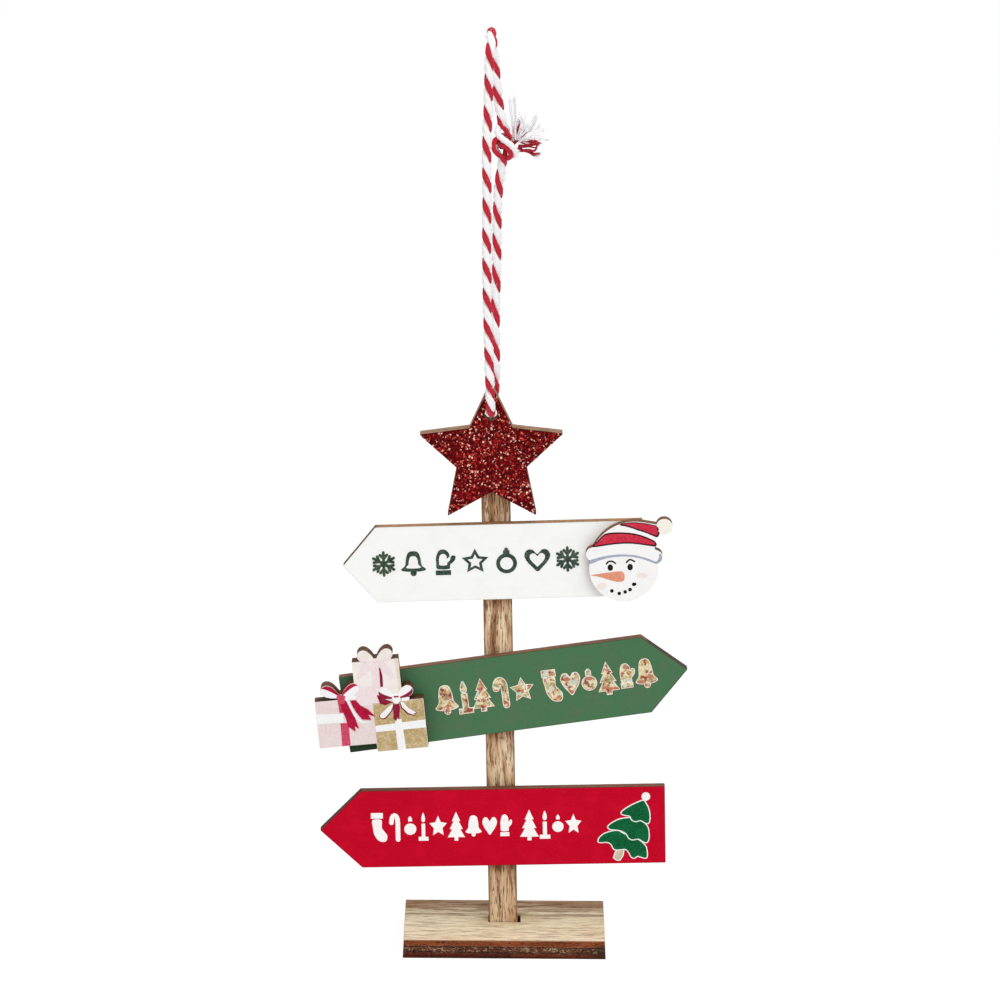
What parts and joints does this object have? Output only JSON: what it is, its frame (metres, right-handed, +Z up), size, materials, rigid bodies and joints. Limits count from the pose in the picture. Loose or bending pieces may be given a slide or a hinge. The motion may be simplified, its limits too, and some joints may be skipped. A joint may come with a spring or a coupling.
{
  "type": "christmas signpost",
  "caption": "Small wooden signpost ornament: slotted base, leaning post, glitter star, arrow boards with a snowman's head and stacked presents, and a loop of twisted hanging cord.",
  "frame": {"origin": "middle of the base's underside, on the surface that it stands on", "axes": "+Z up, -Y towards the printed fronts of the boards, +X to the right as seen from the front"},
  "size_m": [0.0749, 0.0236, 0.19],
  "materials": {
    "base_ply": "bare plywood, scorched dark brown on its laser-cut edges",
    "post_wood": "bare light wood with brown streaks along the grain",
    "star_glitter": "dark red glitter on the front, scorched cut edge",
    "white_paint": "smooth white printed face, brown cut edge",
    "green_paint": "smooth green printed face, brown cut edge",
    "red_paint": "smooth red printed face, brown cut edge",
    "head_print": "printed face on plywood, brown cut edge",
    "gift_print": "printed presents on plywood, dark cut edge",
    "twine": "red and white two-ply twisted cotton twine",
    "twine_knot": "the same twine, tied",
    "twine_ends": "frayed ends of the same twine"
  },
  "bodies": {
    "root": {"base_block": "base_ply", "post": "post_wood", "star": "star_glitter", "white_sign": "white_paint", "green_sign": "green_paint", "red_sign": "red_paint", "snowman_head": "head_print", "gift_stack": "gift_print", "hanging_cord": "twine", "cord_knot": "twine_knot", "cord_tassel": "twine_ends"}
  },
  "joints": []
}
